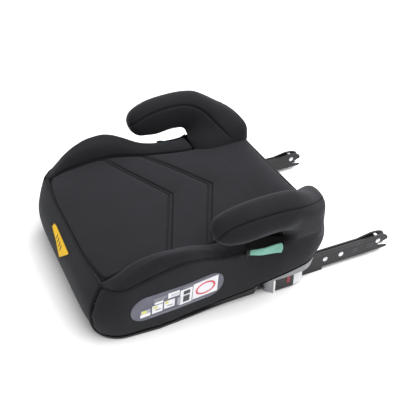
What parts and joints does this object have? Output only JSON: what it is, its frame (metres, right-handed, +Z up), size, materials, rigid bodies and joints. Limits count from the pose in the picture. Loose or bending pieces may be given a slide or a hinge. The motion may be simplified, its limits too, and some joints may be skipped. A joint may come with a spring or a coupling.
{
  "type": "booster seat",
  "caption": "Backless child booster seat with padded armrests, belt slots, and rigid rear anchor arms with spring-loaded release grips.",
  "frame": {"origin": "under the middle of the bounding box, on the surface the feet rest on", "axes": "+Y towards the rear, along the anchor arms; +X to the seated child's left; +Z up"},
  "size_m": [0.41, 0.5112, 0.197],
  "materials": {
    "pad_fabric": "woven matte",
    "side_fabric": "woven matte",
    "black_plastic": "fine grain",
    "grey_plastic": "satin",
    "silver_plastic": "metallic paint",
    "black_steel": "powder coat",
    "bright_steel": "zinc plated",
    "rubber": "matte",
    "green_plastic": "satin",
    "label_film": "printed film",
    "tag_fabric": "woven label",
    "red_plastic": "satin"
  },
  "bodies": {
    "seat": {"base_tray": "black_plastic", "seat_deck": "black_plastic", "armrest_core_left": "black_plastic", "armrest_core_right": "black_plastic", "deck_screw_1": "bright_steel", "deck_screw_2": "bright_steel", "deck_screw_3": "bright_steel", "deck_screw_4": "bright_steel", "base_foot_1": "rubber", "base_foot_2": "rubber", "base_foot_3": "rubber", "base_foot_4": "rubber", "seat_pad": "pad_fabric", "thigh_bolster_left": "pad_fabric", "thigh_bolster_right": "pad_fabric", "armrest_pad_left": "pad_fabric", "armrest_pad_right": "pad_fabric", "front_panel": "side_fabric", "rear_panel": "side_fabric", "side_skirt_left": "side_fabric", "side_skirt_right": "side_fabric", "trim_strip_left": "grey_plastic", "trim_strip_right": "grey_plastic", "belt_guide_left": "green_plastic", "belt_guide_right": "green_plastic", "instruction_label": "label_film", "front_tag": "tag_fabric", "guide_rail_left": "black_steel", "guide_rail_right": "black_steel", "grip_spring_left": "black_steel", "grip_spring_right": "black_steel"},
    "arm_left": {"arm_outer_plate_left": "black_steel", "arm_inner_plate_left": "black_steel", "arm_core_left": "black_plastic", "arm_rivet_1_left": "bright_steel", "arm_rivet_2_left": "bright_steel", "latch_pin_left": "bright_steel"},
    "latch_left": {"latch_pawl_left": "bright_steel"},
    "bar_left": {"release_bar_left": "bright_steel"},
    "grip_left": {"grip_block_left": "black_plastic", "grip_front_cap_left": "silver_plastic", "grip_rear_cap_left": "silver_plastic", "grip_indicator_left": "red_plastic"},
    "arm_right": {"arm_outer_plate_right": "black_steel", "arm_inner_plate_right": "black_steel", "arm_core_right": "black_plastic", "arm_rivet_1_right": "bright_steel", "arm_rivet_2_right": "bright_steel", "latch_pin_right": "bright_steel"},
    "latch_right": {"latch_pawl_right": "bright_steel"},
    "bar_right": {"release_bar_right": "bright_steel"},
    "grip_right": {"grip_block_right": "black_plastic", "grip_front_cap_right": "silver_plastic", "grip_rear_cap_right": "silver_plastic", "grip_indicator_right": "red_plastic"}
  },
  "joints": [
    {"name": "arm_left_slide", "type": "slide", "parent": "seat", "child": "arm_left", "axis": [0, -1, 0], "range_m": [0, 0.1]},
    {"name": "grip_left_slide", "type": "slide", "parent": "seat", "child": "grip_left", "axis": [0, -1, 0], "range_m": [0, 0.012], "stiffness_N_per_m": 300, "springref_m": -0.006, "deforming": ["grip_spring_left"]},
    {"name": "latch_left_hinge", "type": "hinge", "parent": "arm_left", "child": "latch_left", "pos_m": [0.14, 0.235, 0.0255], "axis": [1, 0, 0], "range_deg": [0, 40]},
    {"name": "bar_left_slide", "type": "slide", "parent": "arm_left", "child": "bar_left", "axis": [0, -1, 0], "range_m": [0, 0.007]},
    {"name": "arm_right_slide", "type": "slide", "parent": "seat", "child": "arm_right", "axis": [0, -1, 0], "range_m": [0, 0.1]},
    {"name": "grip_right_slide", "type": "slide", "parent": "seat", "child": "grip_right", "axis": [0, -1, 0], "range_m": [0, 0.012], "stiffness_N_per_m": 300, "springref_m": -0.006, "deforming": ["grip_spring_right"]},
    {"name": "latch_right_hinge", "type": "hinge", "parent": "arm_right", "child": "latch_right", "pos_m": [-0.14, 0.235, 0.0255], "axis": [1, 0, 0], "range_deg": [0, 40]},
    {"name": "bar_right_slide", "type": "slide", "parent": "arm_right", "child": "bar_right", "axis": [0, -1, 0], "range_m": [0, 0.007]}
  ],
  "couplings": [
    {"joint": "latch_left_hinge", "follows": "grip_left_slide", "rad_per_m": 58},
    {"joint": "bar_left_slide", "follows": "grip_left_slide", "ratio": 0.58},
    {"joint": "latch_right_hinge", "follows": "grip_right_slide", "rad_per_m": 58},
    {"joint": "bar_right_slide", "follows": "grip_right_slide", "ratio": 0.58}
  ]
}
